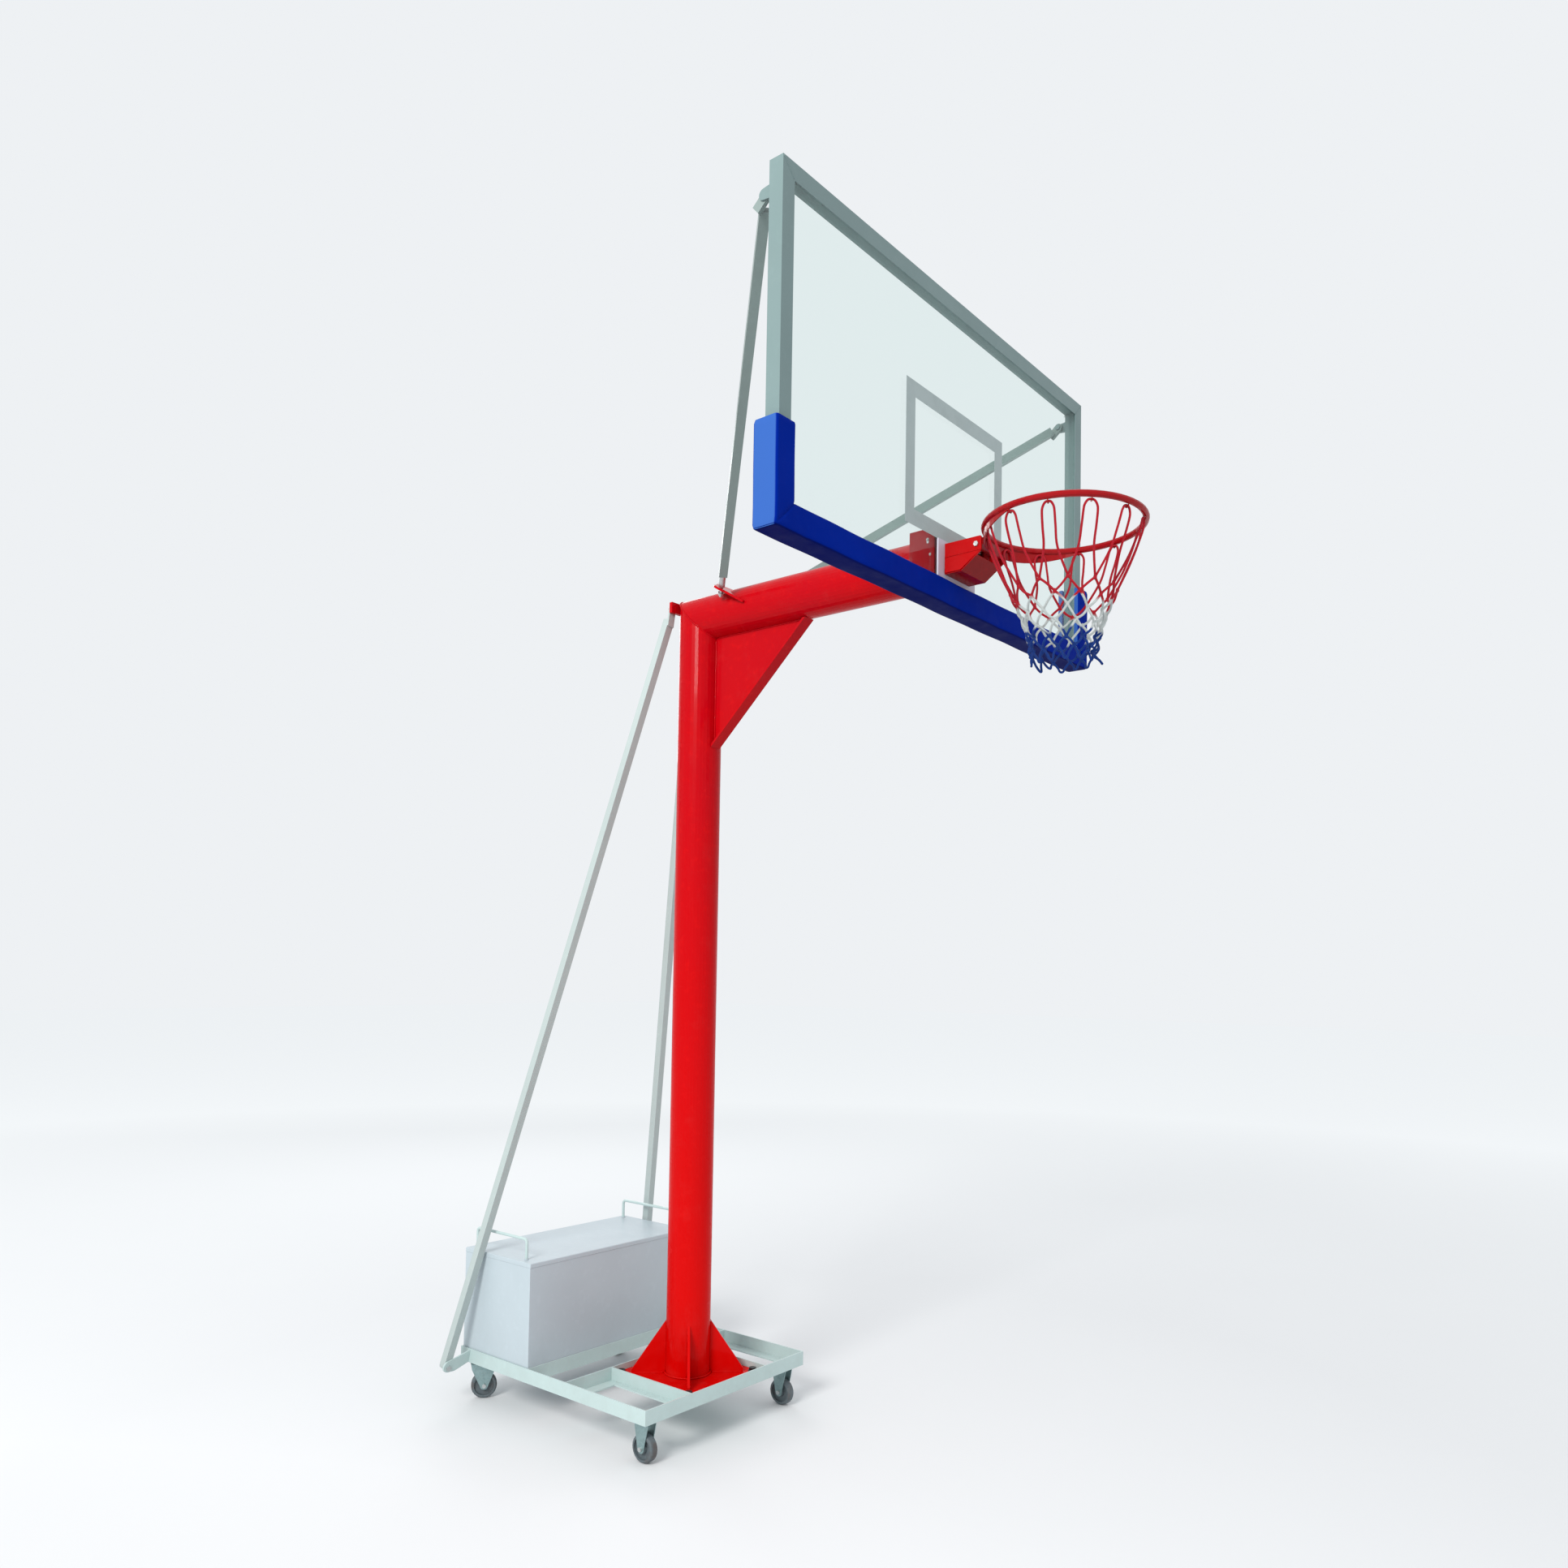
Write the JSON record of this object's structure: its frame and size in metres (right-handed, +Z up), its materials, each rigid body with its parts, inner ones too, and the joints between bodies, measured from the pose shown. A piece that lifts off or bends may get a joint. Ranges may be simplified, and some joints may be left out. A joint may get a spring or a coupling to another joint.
{
  "type": "basketball stand",
  "caption": "Portable basketball stand: ballasted frame on casters, column and arm, glass board, sprung ring with net.",
  "frame": {"origin": "on the ground under the middle of the stand's outline", "axes": "+Z up, -Y to the court side, +X to the right seen from the court's far side towards the board"},
  "size_m": [1.86, 2.561, 3.86],
  "materials": {
    "red_paint": "gloss",
    "pale_paint": "satin",
    "pale_tube": "satin",
    "pale_ballast": "satin",
    "board_grey": "satin",
    "stay_grey": "satin",
    "clear_glass": "gloss",
    "white_line": "satin",
    "centre_grey": "satin",
    "blue_pad": "satin",
    "zinc_plate": "satin",
    "black_bolt": "satin",
    "tread": "matte",
    "net_cord": "matte"
  },
  "bodies": {
    "stand": {"front_rail": "pale_paint", "rear_rail": "pale_paint", "left_rail": "pale_paint", "right_rail": "pale_paint", "pocket_rail_left": "pale_paint", "pocket_rail_right": "pale_paint", "pocket_cross_rail": "pale_paint", "box_cross_rail": "pale_paint", "mounting_plate": "pale_paint", "ballast_handle_left": "pale_paint", "ballast_handle_right": "pale_paint", "ballast_box": "pale_ballast", "column_foot": "red_paint", "column": "red_paint", "arm": "red_paint", "knee_gusset": "red_paint", "stay_saddle": "red_paint", "arm_head": "red_paint", "rim_bracket": "red_paint", "base_bolt_front_left": "black_bolt", "base_bolt_front_right": "black_bolt", "base_bolt_rear_left": "black_bolt", "base_bolt_rear_right": "black_bolt", "brace_left": "pale_tube", "brace_right": "pale_tube", "brace_bolt_left": "zinc_plate", "brace_bolt_right": "zinc_plate", "stay_rod_left": "zinc_plate", "stay_rod_right": "zinc_plate", "rim_hinge_bolt": "zinc_plate", "rim_spring": "zinc_plate", "board_frame": "board_grey", "board_lug_left": "board_grey", "board_lug_right": "board_grey", "stay_left": "stay_grey", "stay_right": "stay_grey", "board_glass": "clear_glass", "target_lines": "white_line", "centre_plate": "centre_grey", "pad_bottom": "blue_pad", "pad_left": "blue_pad", "pad_right": "blue_pad", "front_fork_left": "zinc_plate", "front_axle_left": "zinc_plate", "rear_caster_plate_left": "zinc_plate", "front_fork_right": "zinc_plate", "front_axle_right": "zinc_plate", "rear_caster_plate_right": "zinc_plate"},
    "rim": {"rim_ring": "red_paint", "net": "net_cord"},
    "front_wheel_left": {"front_wheel_left": "tread"},
    "rear_swivel_left": {"rear_fork_left": "zinc_plate", "rear_axle_left": "zinc_plate"},
    "rear_wheel_left": {"rear_wheel_left": "tread"},
    "brake_left": {"brake_pedal_left": "zinc_plate"},
    "front_wheel_right": {"front_wheel_right": "tread"},
    "rear_swivel_right": {"rear_fork_right": "zinc_plate", "rear_axle_right": "zinc_plate"},
    "rear_wheel_right": {"rear_wheel_right": "tread"},
    "brake_right": {"brake_pedal_right": "zinc_plate"}
  },
  "joints": [
    {"name": "rim_breakaway", "type": "hinge", "parent": "stand", "child": "rim", "pos_m": [0, -0.7735, 3.016], "axis": [1, 0, 0], "range_deg": [0, 30], "stiffness_Nm_per_rad": 400, "springref_deg": -8.59, "deforming": ["rim_spring"]},
    {"name": "front_wheel_spin_left", "type": "hinge", "parent": "stand", "child": "front_wheel_left", "pos_m": [-0.367, 0.3115, 0.049], "axis": [1, 0, 0], "continuous": true},
    {"name": "rear_swivel_turn_left", "type": "hinge", "parent": "stand", "child": "rear_swivel_left", "pos_m": [-0.374, 1.234, 0.13], "axis": [0, 0, 1], "continuous": true},
    {"name": "rear_wheel_spin_left", "type": "hinge", "parent": "rear_swivel_left", "child": "rear_wheel_left", "pos_m": [-0.356, 1.2205, 0.049], "axis": [0.6, 0.8, 0], "continuous": true},
    {"name": "brake_press_left", "type": "hinge", "parent": "rear_swivel_left", "child": "brake_left", "pos_m": [-0.334, 1.204, 0.113], "axis": [0.6, 0.8, 0], "range_deg": [0, 12]},
    {"name": "front_wheel_spin_right", "type": "hinge", "parent": "stand", "child": "front_wheel_right", "pos_m": [0.367, 0.3115, 0.049], "axis": [1, 0, 0], "continuous": true},
    {"name": "rear_swivel_turn_right", "type": "hinge", "parent": "stand", "child": "rear_swivel_right", "pos_m": [0.374, 1.234, 0.13], "axis": [0, 0, 1], "continuous": true},
    {"name": "rear_wheel_spin_right", "type": "hinge", "parent": "rear_swivel_right", "child": "rear_wheel_right", "pos_m": [0.356, 1.2205, 0.049], "axis": [0.6, -0.8, 0], "continuous": true},
    {"name": "brake_press_right", "type": "hinge", "parent": "rear_swivel_right", "child": "brake_right", "pos_m": [0.334, 1.204, 0.113], "axis": [0.6, -0.8, 0], "range_deg": [0, 12]}
  ]
}
